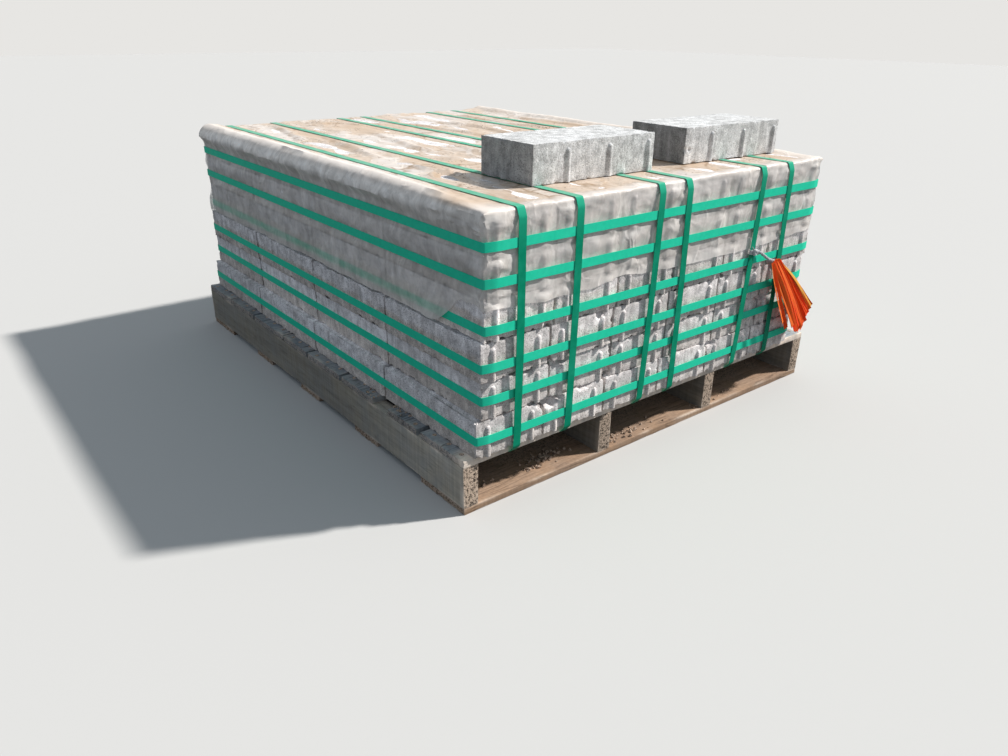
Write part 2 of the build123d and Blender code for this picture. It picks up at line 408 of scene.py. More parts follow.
deck_wood = weathered_wood(
    "deck_wood", 0, (0.38, 0.385, 0.385), (0.25, 0.255, 0.265), grey_share=1.0, speckle=0.4, cracked=0.6,
)
random.seed(3)
for number, shade in enumerate((0.9, 0.35, 0.5, 0.62, 0.4, 0.55, 0.35, 0.6), start=1):
    low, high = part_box(f"top_board_{number}")
    cuts = (130, round((high - low).y / 0.006), 3)
    board = plank(f"deck_board_{number}", f"top_board_{number}", 0, cuts, 0.0008, 0.0015)
    if number == 1:
        # Its front edge and its near left corner are painted pale: torn fresh wood with painted sunlight on
        # it
        for share, point in zip(board.data.attributes["fresh_wood_and_light"].data, board.data.vertices):
            torn_and_lit = 0.75 + 0.4 * noise.noise(point.co * 60)
            if point.co.y < low.y + 0.002:
                share.value = max(share.value, torn_and_lit)
            elif point.co.x < low.x + 0.05:
                share.value = max(share.value, min(1.0, 1.6 * torn_and_lit * (1 - (point.co.y - low.y) / 0.045)))
    parts = [board]
    for x in nail_columns:
        for share in nail_rows:
            y = low.y + share * (high.y - low.y)
            parts.append(nail_head(Vector((x + random.uniform(-0.006, 0.006), y, high.z - 0.0004))))
    if number in (2, 3):
        for step in range(12):
            y = high.y - random.random() ** 2 * 0.05 if number == 2 else low.y + random.random() ** 2 * 0.04
            size = random.uniform(0.0012, 0.0032)
            parts.append(crumb(Vector((random.uniform(-0.504, -0.478), y, high.z + 0.3 * size)), size))
    board = join(f"deck_board_{number}", parts)
    mark(board, "tone", shade)
    finish_piece(board, deck_wood, f"top_board_{number}")


# Bottom boards: five boards nailed under the stringers, the front and back ones wider. Soil and grit
# lie on the one at the front.
soil_heaps = (  # middle in X and Y, spread and number of crumbs
    (-0.285, -0.558, 0.026, 80), (-0.325, -0.575, 0.012, 14), (-0.12, -0.588, 0.022, 36),
    (-0.04, -0.578, 0.030, 24), (0.18, -0.580, 0.040, 34), (-0.42, -0.560, 0.014, 8),
)
base_wood = weathered_wood(
    "base_wood", 0, (0.40, 0.265, 0.175), (0.26, 0.165, 0.105), grey_share=0.12, speckle=0.5, cracked=0.35,
)
random.seed(8)
for number, shade in enumerate((0.75, 0.4, 0.5, 0.35, 0.6), start=1):
    low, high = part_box(f"bottom_board_{number}")
    cuts = (130, round((high - low).y / 0.008), 2)
    board = plank(f"base_board_{number}", f"bottom_board_{number}", 0, cuts, 0.0016, 0.002)
    soil = 0.3
    if number == 1:
        places = [point.co for point in board.data.vertices]
        soil = [(place.y - low.y - 0.055) / 0.04 + 0.8 * noise.noise(place * 30) for place in places]
        soil = [0.55 * ramp(value, 0, 1) for value in soil]
    mark(board, "soil", soil)
    parts = [board]
    for x, y, spread, count in soil_heaps if number == 1 else ():
        for step in range(count):
            size = random.uniform(0.0016, 0.0050) * random.uniform(0.5, 1.0)
            spot = Vector((random.gauss(x, spread), random.gauss(y, 0.35 * spread), high.z + 0.35 * size))
            if low.y + 0.006 < spot.y < high.y - 0.006 and spot.x > low.x + 0.01:
                parts.append(crumb(spot, size))
    board = join(f"base_board_{number}", parts)
    mark(board, "tone", shade)
    finish_piece(board, base_wood, f"bottom_board_{number}")


# Pavers: pressed concrete blocks, each with three half-round spacer ribs on a long side and two on an
# end. They stand in six courses of six by four, with worn and chipped edges.
paver_size = Vector((0.148, 0.300, 0.070))
columns, rows = 6, 4
column_pitch = 0.1525
row_pitch = 0.3045
end_ribs = (0.025, 0.123)
side_ribs = (0.015, 0.117, 0.219)
rib_radius = 0.00639
rib_middle = 0.00219
rib_top = 0.0596
rib_reach = 0.0042
mesh_cell = 0.0032


def make_rib():
    """A half-round rib with a domed head, in front of the plane Y = 0 and centred on X = 0."""
    waist = rib_top - rib_radius
    bpy.ops.mesh.primitive_uv_sphere_add(
        segments=14, ring_count=8, radius=rib_radius, location=(0, rib_middle, waist),
    )
    rib = bpy.context.object
    bpy.ops.object.transform_apply(location=True, rotation=True, scale=True)
    choose(rib, "VERT", lambda place: place.z < waist - 0.0001)
    bpy.ops.transform.resize(value=(1, 1, 0), center_override=(0, rib_middle, waist), orient_type="GLOBAL")
    choose(rib, "FACE", lambda place, normal: normal.z < -0.9)
    bpy.ops.mesh.delete(type="FACE")
    choose(rib, "VERT", lambda place: True)
    bpy.ops.mesh.remove_doubles(threshold=0.00005)
    choose(rib, "EDGE", lambda a, b: max(a.z, b.z) < waist + 0.0001)
    bpy.ops.mesh.extrude_region_move(TRANSFORM_OT_translate={"value": (0, 0, -waist)})
    choose(rib, "EDGE", lambda a, b: abs(a.z - b.z) > 0.02)
    bpy.ops.mesh.subdivide(number_cuts=4)
    bpy.ops.mesh.select_all(action="SELECT")
    bpy.ops.mesh.bisect(plane_co=(0, 0.0004, 0), plane_no=(0, 1, 0), clear_outer=True)
    bpy.ops.mesh.select_all(action="SELECT")
    bpy.ops.mesh.normals_make_consistent(inside=False)
    bpy.ops.object.mode_set(mode="OBJECT")
    weigh(rib, "rib", lambda place: 1.0)
    return rib


def copy_of(piece, matrix):
    made = bpy.data.objects.new(piece.name, piece.data.copy())
    made.data.transform(matrix)
    bpy.context.scene.collection.objects.link(made)
    for group in piece.vertex_groups:
        if group.name not in made.vertex_groups:
            made.vertex_groups.new(name=group.name)
    return made


def ribs_along(places, x, y, turn):
    """Copies of the rib at those places along a side that starts at X, Y and runs at that angle."""
    start = Matrix.Translation((x, y, 0)) @ Matrix.Rotation(turn, 4, "Z")
    return [copy_of(rib, start @ Matrix.Translation((place, 0, 0))) for place in places]


rib = make_rib()
sides = {
    "front": lambda place: place.y < 0.0001,
    "back": lambda place: place.y > paver_size.y - 0.0001,
    "left": lambda place: place.x < 0.0001,
    "right": lambda place: place.x > paver_size.x - 0.0001,
}


def make_paver(shown):
    """A paver at the origin. The shown sides get a fine mesh, the rest stays plain."""
    low, high = Vector((0, 0, 0)), paver_size
    piece = block("paver", low, high, (0, 0, 0))
    choose(piece, "FACE", lambda place, normal: abs(normal.z) > 0.9)
    bpy.ops.mesh.inset(thickness=0.009, use_individual=True)
    bpy.ops.object.mode_set(mode="OBJECT")
    near = [sides[side] for side in shown]
    for side in ("front", "back", "left", "right"):
        if side in shown:
            on_side = sides[side]
            axis = 0 if side in ("front", "back") else 1
            cut_across(
                piece, lambda a, b: on_side(a) and on_side(b) and abs((a - b)[axis]) > 0.1,
                round(high[axis] / mesh_cell) - 1,
            )
    if shown:
        cut_across(
            piece, lambda a, b: abs(a.z - b.z) > 0.06 and any(test(a) and test(b) for test in near),
            round(high.z / mesh_cell) - 1,
        )
    weigh(piece, "edge", edge_weight(low, high, 0.0065))
    weigh(piece, "side", lambda place: 1.0 if any(test(place) for test in near) else 0.0)
    parts = [piece]
    if "front" in shown:
        parts += ribs_along(end_ribs, 0, 0, 0)
    if shown:
        parts += ribs_along(side_ribs, high.x, 0, math.pi / 2)
    return join("paver", parts)


def grains(tree, place, scale, low, high):
    """Round grains, one in each of many cells, and three random numbers for each cell."""
    cells = put(tree, "TexVoronoi", {"Vector": place, "Scale": scale}).outputs
    size = graded(tree, cells["Distance"], low, high, 1.0, 0.0)
    return size, put(tree, "SeparateColor", {0: cells["Color"]}).outputs


def concrete(name, pale, brown):
    """Pressed concrete with coloured grains and pits. The upper layer of a paver is cooler and finer."""
    material, tree = new_finish(name, 0.93, 0.2)
    place = put(tree, "TexCoord").outputs["Object"]
    grit = noise_at(tree, place, 420, 4, 0.7)
    streaks = noise_at(tree, stretched(tree, place, (1, 1, 0.12)), 120, 4, 0.65)
    blotch = noise_at(tree, place, 52, 4, 0.6)
    layer = graded(tree, marked(tree, "face_layer"), -1, 1)
    layer = mixed(tree, layer, (0.87, 0.86, 0.84), (1.07, 1.13, 1.21))
    patch = graded(tree, noise_at(tree, place, 16, 5, 0.62), 0.42, 0.72, 0.0, 0.6)
    colour = mixed(tree, patch, pale, brown)
    for layer_shade in (
        graded(tree, streaks, 0.34, 0.66, 0.83, 1.14), graded(tree, blotch, 0.32, 0.68, 0.67, 1.22),
        layer, graded(tree, grit, 0.32, 0.68, 0.70, 1.25),
    ):
        colour = mixed(tree, 1.0, colour, layer_shade, "MULTIPLY")
    size, pick = grains(tree, place, 430, 0.25, 0.45)
    dark_grain = product(tree, size, reckon(tree, "GREATER_THAN", pick[0], 0.78))
    pale_grain = product(tree, size, reckon(tree, "GREATER_THAN", pick[1], 0.82))
    colour = mixed(tree, dark_grain, colour, (0.24, 0.235, 0.23))
    colour = mixed(tree, pale_grain, colour, (0.88, 0.86, 0.84))
    # Painted shade: the end of a loose paver that lies in shade is painted darker
    shade = plus(tree, graded(tree, marked(tree, "tone"), 0, 1, 0.86, 1.1), marked(tree, "shaded_end"), -0.3)
    feed(tree, shaded(tree, colour, shade), "Base Color")
    pits = put(tree, "TexVoronoi", {"Vector": place, "Scale": 210.0}).outputs["Distance"]
    pits = graded(tree, pits, 0.1, 0.5, -0.6, 0.0)
    roughen(tree, plus(tree, pits, grit, 1.2), 0.5, 0.0007)
    return material


course_concrete = concrete("course_concrete", (0.87, 0.795, 0.755), (0.64, 0.56, 0.51))
kinds = {}
for column_side in ("left", "", "right"):
    for row_side in ("front", "", "back"):
        shown = [side for side in (column_side, row_side) if side]
        kinds[column_side, row_side] = make_paver(shown)

worn_edge = clouds("worn_edge", 0.005, contrast=1.5)
edge_chip = clouds("edge_chip", 0.014, contrast=5.0, brightness=0.14)
rough_face = clouds("rough_face", 0.006, contrast=1.5)

# Broken corners and spalls on the front: course, middle in X and Z, half width, half height and depth
spalls = (
    (6, -0.318, 0.176, 0.034, 0.018, 0.022), (6, -0.232, 0.180, 0.030, 0.009, 0.010),
    (5, -0.300, 0.246, 0.026, 0.012, 0.010), (5, -0.372, 0.246, 0.012, 0.007, 0.008),
    (4, -0.205, 0.315, 0.014, 0.010, 0.009), (5, -0.178, 0.184, 0.015, 0.010, 0.010),
    (4, 0.060, 0.252, 0.020, 0.008, 0.008), (6, 0.130, 0.174, 0.018, 0.009, 0.010),
    (5, 0.290, 0.246, 0.022, 0.010, 0.010), (3, -0.340, 0.322, 0.014, 0.006, 0.006),
)
deepest_spall = 0.022


def spall_weight(number):
    def weight_at(place):
        if place.y > -0.55:
            return 0.0
        ragged = 0.35 * noise.noise(place * 90)
        found = 0.0
        for course, x, z, wide, tall, depth in spalls:
            if course == number:
                away = math.hypot((place.x - x) / wide, (place.z - z) / tall) + ragged
                found = max(found, ramp((1 - away) * 2.2, 0, 1) * depth / deepest_spall)
        return found
    return weight_at


def wear_down(piece, edge, chip, side):
    """Rubs a paver's edges, chips them and roughens its faces, by up to those depths."""
    displace(piece, worn_edge, -edge, "edge")
    displace(piece, edge_chip, -chip, "edge")
    displace(piece, rough_face, -side, "side")
    displace(piece, rough_face, -0.0004, "rib")


random.seed(11)
for number in range(1, 7):
    low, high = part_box(f"paver_course_{number}")
    front = low.y + rib_reach
    parts = []
    for row in range(rows):
        for column in range(columns):
            column_side = "left" if column == 0 else "right" if column == columns - 1 else ""
            row_side = "front" if row == 0 else "back" if row == rows - 1 else ""
            corner = (low.x + column * column_pitch, front + row * row_pitch, low.z)
            part = copy_of(kinds[column_side, row_side], Matrix.Translation(corner))
            mark(part, "tone", random.random())
            parts.append(part)
    course = join(f"course_{number}_pavers", parts)
    # The upper two fifths of each paver are a finer, cooler mix than the coarse mix below
    layers = []
    for point in course.data.vertices:
        line = low.z + 0.042 + 0.007 * noise.noise(point.co * 45)
        above = max(-1.0, min(1.0, (point.co.z - line) / 0.004))
        layers.append(above * (0.35 if point.co.y < front + 0.004 else 1.0))
    mark(course, "face_layer", layers)
    wear_down(course, 0.0012, 0.0065, 0.00025)
    weigh(course, "spall", spall_weight(number))
    displace(course, None, deepest_spall, "spall", direction="Y")
    finish_piece(course, course_concrete, f"paver_course_{number}")
for kind in kinds.values():
    bpy.data.objects.remove(kind)


# Loose pavers: two of the same blocks, turned sideways and laid on top of the load, ribbed long side
# to the front. Their faces are clean, pale and speckled.
def make_loose_paver(name, corner, turn, breakage, end_shade):
    """A paver with its near left corner there. That corner is broken off, and its left end is painted darker
    as painted shade.
    """
    low, high = Vector((0, 0, 0)), paver_size.yxz
    piece = block(name, low, high, (100, 50, 23))
    weigh(piece, "edge", edge_weight(low, high, 0.006))
    weigh(piece, "side", lambda place: 1.0)
    front_ribs = ribs_along([high.x - place for place in side_ribs], 0, 0, 0)
    made = join(name, [piece] + front_ribs + ribs_along(end_ribs, high.x, 0, math.pi / 2))
    made.data.transform(Matrix.Translation(corner) @ Matrix.Rotation(math.radians(turn), 4, "Z"))
    wear_down(made, 0.0009, 0.0022, 0.0003)
    broken = corner + Vector((0, 0, 0.040))

    def break_weight(place):
        return breakage * (1.6 - (place - broken).length / 0.024 + 0.5 * noise.noise(place * 70))

    weigh(made, "broken", break_weight)
    displace(made, edge_chip, -0.0050, "broken")
    # Painted shade on the points of the left end
    across = Vector((1, math.tan(math.radians(turn)), 0))
    at_end = [(point.co - corner).dot(across) < 0.002 for point in made.data.vertices]
    mark(made, "shaded_end", [end_shade if shaded_end else 0.0 for shaded_end in at_end])
    mark(made, "tone", 0.6)
    return made


loose_concrete = concrete("loose_concrete", (0.68, 0.67, 0.655), (0.60, 0.585, 0.56))
left_paver = make_loose_paver("pale_paver_left", Vector((-0.2894, -0.5148, 0.5318)), -0.8, 0.0, 1.4)
finish_piece(left_paver, loose_concrete, "loose_paver_left")
right_paver = make_loose_paver("pale_paver_right", Vector((0.1106, -0.5121, 0.5318)), -1.7, 1.0, 2.1)
finish_piece(right_paver, loose_concrete, "loose_paver_right")
bpy.data.objects.remove(rib)


# Top sheet: one piece of clear polythene laid over the load, its edges hanging over the three upper
# courses under the straps. It is dusty and stained on top, creased and cloudy at the sides.
film_low = Vector((-0.4732, -0.6242, 0.3198))
film_high = Vector((0.4447, 0.5970, 0.5303))
shoulder = film_high.z - 0.012
front_hem = (  # X and height of the hem at the front, then Y and height at the sides
    (-0.48, 0.375), (-0.41, 0.373), (-0.36, 0.368), (-0.24, 0.367), (-0.18, 0.377), (-0.12, 0.373),
    (0.05, 0.366), (0.22, 0.366), (0.29, 0.370), (0.40, 0.374), (0.45, 0.380),
)
side_hem = (
    (-0.63, 0.385), (-0.553, 0.378), (-0.522, 0.346), (-0.503, 0.330), (-0.484, 0.3225), (-0.40, 0.323),
    (-0.367, 0.3245), (-0.294, 0.321), (-0.067, 0.3235), (0.055, 0.3225), (0.283, 0.320), (0.61, 0.319),
)
# The middles of the six upright straps at the front, and where they cross the top
strap_columns = []
for number in range(1, 7):
    low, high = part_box(f"vertical_strap_{number}")
    strap_columns.append((low.x + high.x) / 2)
top_columns = (-0.401, -0.277, -0.076, -0.001, 0.230, 0.323)
# The heights of the two course straps that press on the sheet
film_straps = [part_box(f"course_strap_{number}")[0].z + 0.008 for number in (1, 2)]


def between(places, at):
    """The height at that place on a line drawn through the given places."""
    for (a, low), (b, high) in zip(places, places[1:]):
        if at <= b:
            return low + (high - low) * max(0.0, (at - a) / (b - a))
    return places[-1][1]


def nearest(value, places):
    return min(abs(value - place) for place in places)


film = block("clear_top_sheet", film_low, film_high, (0, 0, 0))
choose(film, "FACE", lambda place, normal: normal.z < -0.9)
bpy.ops.mesh.delete(type="FACE")
choose(film, "EDGE", lambda a, b: min(a.z, b.z) > film_high.z - 0.001)
bpy.ops.mesh.bevel(offset=0.006, segments=4, profile=0.5)
choose(film, "EDGE", lambda a, b: abs(a.z - b.z) > 0.15)
bpy.ops.mesh.bevel(offset=0.005, segments=3, profile=0.5)
for axis, cuts in enumerate((214, 208, 40)):
    cut_across(film, lambda a, b: abs((a - b)[axis]) > 0.15, cuts)


def draw_back(place):
    """The top edge at the front is drawn back, most at the straps."""
    from_front = (place.y - film_low.y) / 0.012
    if from_front < 1 and place.z > shoulder:
        tucked = 0.0062 - 0.0030 * ramp(nearest(place.x, top_columns), 0.010, 0.045)
        place.y += tucked * (1 - 0.5 * from_front) * (place.z - shoulder) / (film_high.z - shoulder)


def let_down(place, on_front):
    """Lets a side down to its wavy hem. The result is the height above the hem."""
    hem = between(front_hem, place.x) if on_front else between(side_hem, place.y)
    hem += (0.0035 if on_front else 0.0012) * noise.noise(Vector((place.x * 30, place.y * 30, 3)))
    if place.z < shoulder:
        place.z = shoulder - (shoulder - place.z) * (shoulder - hem) / (shoulder - film_low.z)
    return place.z - hem


def roll_over(place):
    """The two long edges bend over in a soft, swollen roll, which flattens towards the front."""
    reach, drop = 0.05, 0.018
    from_corner = ramp(place.y, -0.600, -0.400)
    roll = 0.007 + 0.015 * from_corner
    for side, edge in ((1, film_low.x), (-1, film_high.x)):
        across = roll - side * (place.x - edge)
        down = roll - (film_high.z - place.z)
        if across > 0 and down > 0:
            round_off = roll / math.hypot(across, down)
            place.x = edge + side * (roll - across * round_off)
            place.z = film_high.z - roll + down * round_off
        away = Vector((max(0.0, across), max(0.0, down)))
        if across > -reach and down > -drop and away.length > 0.001:
            away.normalize()
            past = max(max(0.0, -across) / reach, max(0.0, -down) / drop)
            swell = (0.001 + 0.0095 * from_corner) * (1 - past) ** 2
            swell *= 0.9 + 0.3 * noise.noise(Vector((3, place.y * 6, 1)))
            place.x -= side * away.x * swell
            place.z += away.y * swell


def lay_back(place, on_front):
    """At the corners, past the last rib, the sheet lies back against the pavers."""
    outward = ramp(film_high.z - place.z, 0, 0.012)
    if on_front:
        from_corner = min((place.x - film_low.x) / 0.024, (film_high.x - place.x) / 0.026)
        place.y += rib_reach * outward * (1 - ramp(from_corner, 0, 1))
    if place.x > film_high.x - 0.004:
        from_corner = min((place.y - film_low.y) / 0.017, (film_high.y - place.y) / 0.078)
        place.x -= rib_reach * outward * (1 - ramp(from_corner, 0, 1))


hem_heights = []
for point in film.data.vertices:
    draw_back(point.co)
    on_front = point.co.y < film_low.y + 0.008
    hem_heights.append(let_down(point.co, on_front))
    roll_over(point.co)
    lay_back(point.co, on_front)
mark(film, "above_hem", hem_heights)


def on_long_side(place):
    return place.x < film_low.x + 0.006 or place.x > film_high.x - 0.006


def outward_at(place):
    """Which way is out from the sheet at this place."""
    if place.z > film_high.z - 0.004:
        return Vector((0, 0, 1))
    if on_long_side(place):
        return Vector((-1 if place.x < 0 else 1, 0, 0))
    return Vector((0, -1 if place.y < 0 else 1, 0))


def free_film(place):
    """0 where a strap holds the film, 1 well away from the straps."""
    gap = nearest(place.x, strap_columns)
    if place.z > shoulder:
        under_paver = -0.295 < place.x < 0.42 and -0.52 < place.y < -0.36
        from_edge = min(place.x - film_low.x, film_high.x - place.x)
        return ramp(gap, 0.010, 0.035) * (0.1 if under_paver else 0.4) * ramp(from_edge, 0.012, 0.050)
    free = ramp(nearest(place.z, film_straps), 0.0095, 0.024)
    if place.y < -0.61 or place.y > 0.59:
        free *= max(0.12, ramp(gap, 0.008, 0.03))
    return free


def puffed(place):
    """The film stands off along the top edges at its ends, between the straps that pull it down."""
    if on_long_side(place):
        return 0.0
    from_edge = abs(place.z - (film_high.z - 0.010))
    from_end = min(place.y - film_low.y, film_high.y - place.y)
    if place.z > film_high.z - 0.003:
        inside = min(place.x - film_low.x, film_high.x - place.x, from_end)
        from_edge = max(0.0, inside - 0.008)
    gap = 0.03 if from_end > 0.02 else nearest(place.x, strap_columns)
    return (1 - ramp(from_edge, 0.0, 0.028)) * ramp(gap, 0.009, 0.035)


# Folds fan out from the places where a strap or a corner pins the sheet. A pin at a strap or a corner
# is given by its height and reach, and one on a long side by its Y, height and reach.
strap_pins = (
    (0.526, 0.035), (film_straps[0] + 0.008, 0.028), (film_straps[0] - 0.008, 0.022),
    (film_straps[1] + 0.008, 0.022), (film_straps[1] - 0.008, 0.022),
)
side_pins = (
    (0.34, 0.492, 0.05), (0.25, 0.44, 0.035), (0.24, 0.412, 0.06), (-0.05, 0.49, 0.03),
    (-0.20, 0.412, 0.05), (-0.05, 0.412, 0.05), (0.10, 0.464, 0.04), (-0.40, 0.46, 0.05),
    (-0.52, 0.49, 0.05), (-0.56, 0.44, 0.03), (0.50, 0.49, 0.05), (0.52, 0.41, 0.06),
    (-0.34, 0.49, 0.035), (0.40, 0.41, 0.05),
)
corner_pins = ((0.452, 0.045), (0.500, 0.030), (0.395, 0.030))
pins = []
for x in strap_columns:
    for z, reach in strap_pins:
        pins += [(Vector((x, y, z)), reach) for y in (film_low.y, film_high.y)]
for x in (film_low.x, film_high.x):
    pins += [(Vector((x, y, z)), reach) for y, z, reach in side_pins]
pins += [(Vector((film_low.x + 0.004, film_low.y + 0.002, z)), reach) for z, reach in corner_pins]
pins = [(pin, reach, 7.3 * index) for index, (pin, reach) in enumerate(pins)]


def folds(place):
    raised = 0.0
    for pin, reach, seed in pins:
        away = place - pin
        distance = away.length
        if 0.001 < distance < 3 * reach:
            turn = away / distance
            crest = 1 - 2.6 * abs(noise.noise(turn * 2.3 + Vector((seed, seed, seed))))
            raised += max(0.0, crest) ** 2 * min(1.0, distance / 0.015) * math.exp(-distance / reach)
    return raised


# Long folds across the top: the places each runs through, its height and its half width
long_folds = (
    (((-0.300, 0.590), (-0.318, 0.441), (-0.353, 0.281), (-0.367, 0.207)), 0.0040, 0.012),
    (((-0.265, 0.406), (-0.284, 0.269), (-0.316, 0.125), (-0.335, -0.006), (-0.343, -0.106)), 0.0060, 0.016),
    (((-0.165, 0.302), (-0.168, 0.192), (-0.196, 0.044), (-0.215, -0.115)), 0.0045, 0.014),
    (((-0.352, -0.180), (-0.339, -0.271), (-0.326, -0.345), (-0.322, -0.395)), 0.0065, 0.012),
    (((-0.385, -0.345), (-0.350, -0.312), (-0.302, -0.318)), 0.0065, 0.012),
    (((-0.100, -0.020), (-0.125, -0.120), (-0.142, -0.230), (-0.120, -0.310)), 0.0040, 0.012),
    (((-0.020, 0.500), (0.030, 0.300), (0.050, 0.050), (0.020, -0.200)), 0.0045, 0.013),
    (((0.100, 0.450), (0.140, 0.200), (0.110, -0.050), (0.150, -0.300)), 0.0050, 0.014),
    (((0.270, 0.520), (0.255, 0.250), (0.290, -0.020)), 0.0040, 0.012),
    (((0.370, 0.400), (0.385, 0.100), (0.355, -0.200)), 0.0040, 0.012),
    (((-0.435, 0.450), (-0.425, 0.330), (-0.430, 0.200)), 0.0035, 0.010),
    (((-0.445, -0.430), (-0.420, -0.500), (-0.425, -0.560)), 0.0035, 0.010),
    (((-0.230, 0.560), (-0.130, 0.480), (-0.095, 0.380)), 0.0045, 0.012),
)


def long_fold(place):
    """How high a fold stands at this place, and how much painted shade lies at the foot of its steep side.
    """
    raised, fold_shade = 0.0, 0.0
    for places, tall, wide in long_folds:
        if places[-1][1] - 0.03 < place.y < places[0][1] + 0.03:
            gap, side, along = 1.0, 1.0, 0.0
            for step, (start, end) in enumerate(zip(places, places[1:])):
                line = Vector(end) - Vector(start)
                away = place.xy - Vector(start)
                share = ramp(away.dot(line) / line.length_squared, 0, 1)
                distance = (away - line * share).length
                if distance < gap:
                    gap = distance
                    side = 1.0 if line.x * away.y - line.y * away.x > 0 else -1.0
                    along = (step + share) / (len(places) - 1)
            reach = wide if side > 0 else 0.5 * wide
            fade = min(1.0, 6 * along, 6 * (1 - along))
            raised += tall * fade * math.exp(-(gap / reach) ** 2)
            # Painted shade along the foot of the steep side, which faces away from the sun
            if side < 0:
                fold_shade = max(fold_shade, fade * math.exp(-((gap - 0.6 * wide) / (0.3 * wide)) ** 2))
    return raised, fold_shade


rib_columns = [-0.4716 + column * column_pitch + x for column in range(columns) for x in end_ribs]
course_feet = (0.4595, 0.3892, 0.3189)


def hollow(place):
    """How far the sheet sinks at the front between the ribs of the pavers under it."""
    if place.y > film_low.y + 0.007:
        return 0.0
    from_top = nearest(place.z - 0.030, course_feet) - 0.030
    on_rib = math.exp(-(nearest(place.x, rib_columns) / 0.009) ** 2) * (1 - ramp(from_top, -0.004, 0.005))
    return 0.0036 * (1 - on_rib) * (1 - ramp(place.z, shoulder, film_high.z))


crumbs_on_top = (
    (-0.421, 0.280), (-0.334, 0.351), (-0.338, -0.001), (-0.375, 0.240), (-0.292, 0.180), (-0.150, 0.060),
)
moves = []
fold_shade_and_crumbs = []
for point in film.data.vertices:
    place = point.co.copy()
    gap = nearest(place.x, strap_columns)
    if place.z < film_high.z - 0.004:
        free = free_film(place) if place.z < shoulder else 0.6 * ramp(gap, 0.010, 0.03)
        move = outward_at(place) * (folds(place) * free * 0.0075 - hollow(place))
        fold_shade_and_crumbs.append(0.0)
    else:
        raised, fold_shade = long_fold(place)
        beside_paver = max(-0.302 - place.x, place.x - 0.424, -0.532 - place.y, place.y + 0.350)
        free = ramp(gap, 0.009, 0.028) * ramp(beside_paver, 0.0, 0.012)
        move = Vector((0, 0, raised * free))
        crumbed = max(1.6 - 280 * math.hypot(place.x - x, place.y - y) for x, y in crumbs_on_top)
        fold_shade_and_crumbs.append(ramp(max(fold_shade * (0.6 + noise.noise(place * 25)), crumbed), 0, 1))
    if on_long_side(place):
        # The hem of the long sides stands out over the strap of the third course
        move += outward_at(place) * 0.0028 * ramp(0.365 - place.z, 0, 0.012)
    moves.append(move)
mark(film, "fold_shade_and_crumbs", fold_shade_and_crumbs)


def side_weight(place):
    if place.z > shoulder or not on_long_side(place):
        return 0.0
    return free_film(place) * ramp(shoulder - place.z, 0.0, 0.03)


weigh(film, "puffed", puffed)
weigh(film, "top", lambda place: free_film(place) if place.z > shoulder else 0.0)
weigh(film, "ends", lambda place: 0.0 if on_long_side(place) or place.z > shoulder else free_film(place))
weigh(film, "long_sides", side_weight)
for point, move in zip(film.data.vertices, moves):
    point.co += move
broad_folds = clouds("broad_folds", 0.05, depth=1, contrast=1.4)
crumple = bpy.data.textures.new("crumple", "VORONOI")
crumple.noise_scale = 0.05
crumple.weight_1 = -1.0
crumple.weight_2 = 1.0
displace(film, broad_folds, 0.005, "puffed")
displace(film, broad_folds, 0.010, "top", level=0.3, stretch=(0.7, 2.2, 1.0))
displace(film, crumple, 0.010, "top", level=0.3, stretch=(0.9, 2.6, 1.0))
displace(film, broad_folds, 0.004, "ends", level=0.2, stretch=(0.8, 0.8, 1.5))
displace(film, crumple, 0.003, "ends", level=0.2, stretch=(0.8, 0.8, 1.5))
displace(film, broad_folds, 0.009, "long_sides", level=0.2, stretch=(1.0, 1.3, 1.6))
displace(film, crumple, 0.005, "long_sides", level=0.3, stretch=(1.0, 1.1, 1.8))

clear_film, tree = new_finish("dusty_clear_film", 0.36, 0.3)
coordinates = put(tree, "TexCoord").outputs
film_place = coordinates["Object"]
film_at = put(tree, "SeparateXYZ", {0: film_place}).outputs
film_normal = put(tree, "SeparateXYZ", {0: coordinates["Normal"]}).outputs
on_top = graded(tree, film_at["Z"], 0.522, 0.530)
film_side = graded(tree, reckon(tree, "ABSOLUTE", film_normal["X"]), 0.4, 0.7)
warp = warped(tree, film_place, 11, 0.08, film_place)
upright = stretched(tree, warp, (1, 1, 0.5))
streaked = stretched(tree, warp, (1, 0.42, 1))

# Creases, fewer of them on the long sides
spread = graded(tree, noise_at(tree, film_place, 17), 0.42, 0.62, 0.1, 1.0)
spread = plus(tree, spread, film_side, -0.6, clamp=True)
crease = graded(tree, cell_edges(tree, upright, 20), 0.0, 0.10, 1.0, 0.0, "SMOOTHSTEP")
crease = product(tree, crease, spread)
fine = graded(tree, cell_edges(tree, upright, 58), 0.0, 0.14, 1.0, 0.0, "SMOOTHSTEP")
fine = product(tree, fine, spread)

# Dust and brown stains with darker rims cover the top but for its left, right and front edges
dusty = product(
    tree, graded(tree, film_at["X"], -0.455, -0.405), graded(tree, film_at["X"], 0.38, 0.43, 1.0, 0.0),
    graded(tree, film_at["Y"], -0.612, -0.590), on_top,
)
stain = noise_at(tree, streaked, 9, 8, 0.64, 0.5)
stain_share = graded(tree, dusty, 0, 1, 0.16, 1.0)
stain_mix = product(tree, graded(tree, stain, 0.36, 0.58, 0.0, 0.95), stain_share)
stain_rim = graded(tree, stain, 0.485, 0.52, 1.0, 0.0)
stain_rim = product(tree, graded(tree, stain, 0.47, 0.485), stain_rim, stain_share, 0.55)
corner_place = {0: warp, 1: (-0.395, -0.495, 0.570)}
corner_spot = put(tree, "VectorMath", corner_place, operation="DISTANCE").outputs["Value"]
corner_spot = product(tree, graded(tree, corner_spot, 0.03, 0.085, 0.85, 0.0), on_top)
stain_mix = reckon(tree, "MAXIMUM", stain_mix, corner_spot)
colour = mixed(tree, on_top, (0.98, 0.945, 0.91), (0.85, 0.785, 0.735))
colour = mixed(tree, stain_mix, colour, (0.56, 0.415, 0.295))
colour = mixed(tree, stain_rim, colour, (0.46, 0.32, 0.20))
